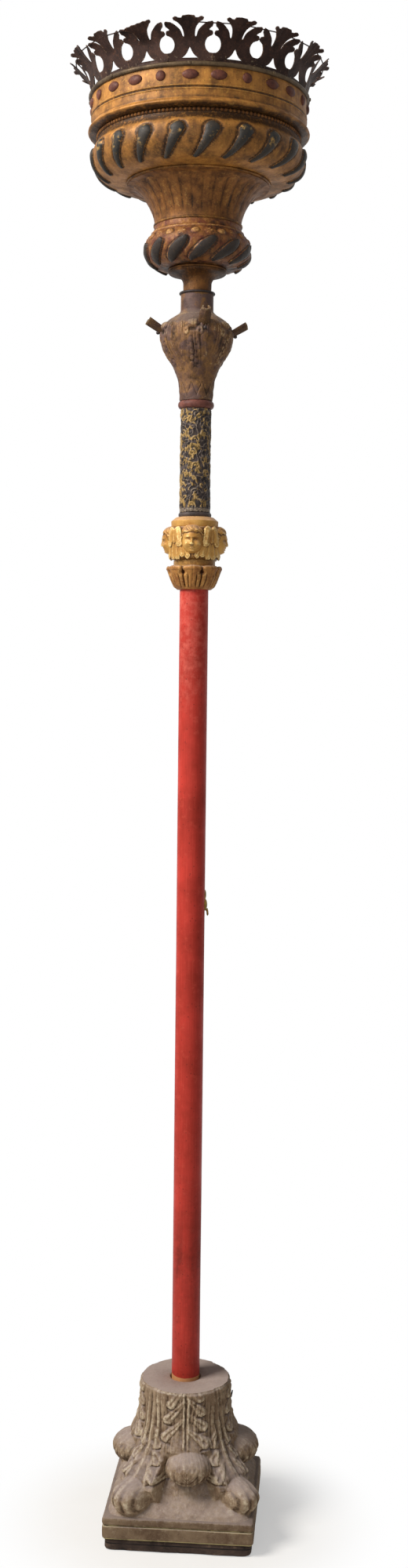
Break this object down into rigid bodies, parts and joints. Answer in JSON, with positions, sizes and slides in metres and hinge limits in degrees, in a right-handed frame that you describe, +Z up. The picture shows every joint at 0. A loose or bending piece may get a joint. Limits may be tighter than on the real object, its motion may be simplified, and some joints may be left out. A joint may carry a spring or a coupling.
{
  "type": "sanctuary floor lamp",
  "caption": "Tall church floor lamp: carved wooden base, lacquered pole, gilded cherub capital and a metal bowl with a leaf crown that holds a glass and a candle.",
  "frame": {"origin": "middle of the underside of the bottom board, on the floor", "axes": "+Z up along the pole, front towards -Y, +X to the right as seen from the front"},
  "size_m": [0.3474, 0.3474, 2.0566],
  "materials": {
    "weathered_wood": "grey-brown carved wood, worn, dust in the hollows",
    "plinth_wood": "dark grey-brown wood with pale yellow edge lines",
    "board_wood": "dark rough board with worn edges",
    "old_iron": "dark wrought iron, rough",
    "red_lacquer": "red lacquer on wood, satin, scratched",
    "dull_brass": "tarnished brass",
    "gilt_wood": "water gilding on carved wood, worn to the red ground",
    "black_sheet": "blackened sheet metal with traces of gilding",
    "knop_sheet": "olive brown patinated sheet metal",
    "ochre_sheet": "ochre gold paint on sheet metal, worn brown",
    "cabochon": "red-brown paint, satin",
    "crown_sheet": "dark brown oxidised sheet metal",
    "red_glass": "clear ruby glass",
    "wax": "ivory candle wax",
    "wick_cotton": "charred cotton"
  },
  "bodies": {
    "base": {"base_board": "board_wood", "plinth": "plinth_wood", "board_nails": "old_iron", "carved_capital": "weathered_wood", "old_nails": "old_iron"},
    "staff": {"pole": "red_lacquer", "pole_hook": "dull_brass", "hook_pins": "dull_brass", "leaf_cup": "gilt_wood", "cherub_drum": "gilt_wood", "cherub_head_1": "gilt_wood", "cherub_head_2": "gilt_wood", "cherub_head_3": "gilt_wood", "cherub_head_4": "gilt_wood"},
    "lamp_head": {"sleeve_foot_ring": "black_sheet", "shaft_sleeve": "black_sheet", "knop_ring": "knop_sheet", "knop": "knop_sheet", "branch_stub_1": "knop_sheet", "branch_stub_2": "knop_sheet", "branch_stub_3": "knop_sheet", "branch_stub_4": "knop_sheet", "stub_rivets": "black_sheet", "collar_ring": "black_sheet", "bowl_stem": "ochre_sheet", "stem_ring": "ochre_sheet", "bulb": "ochre_sheet", "waist_ring": "ochre_sheet", "trumpet": "ochre_sheet", "trumpet_ring": "ochre_sheet", "gadroon_bowl": "ochre_sheet", "beaded_ring": "ochre_sheet", "lip_moulding": "ochre_sheet", "rim_band": "ochre_sheet", "band_bosses": "cabochon", "rim_roll": "black_sheet", "crown": "crown_sheet", "crown_rivets": "crown_sheet", "crown_wire": "crown_sheet"},
    "cradle": {"glass_cradle": "dull_brass"},
    "glass": {"lamp_glass": "red_glass"},
    "candle": {"candle": "wax", "wick": "wick_cotton"}
  },
  "joints": [
    {"name": "staff_lift", "type": "slide", "parent": "base", "child": "staff", "axis": [0, 0, 1], "range_m": [0, 0.13]},
    {"name": "head_lift", "type": "slide", "parent": "staff", "child": "lamp_head", "axis": [0, 0, 1], "range_m": [0, 0.15]},
    {"name": "cradle_lift", "type": "slide", "parent": "lamp_head", "child": "cradle", "axis": [0, 0, 1], "range_m": [0, 0.2]},
    {"name": "glass_lift", "type": "slide", "parent": "cradle", "child": "glass", "axis": [0, 0, 1], "range_m": [0, 0.11]},
    {"name": "candle_lift", "type": "slide", "parent": "glass", "child": "candle", "axis": [0, 0, 1], "range_m": [0, 0.11]}
  ]
}
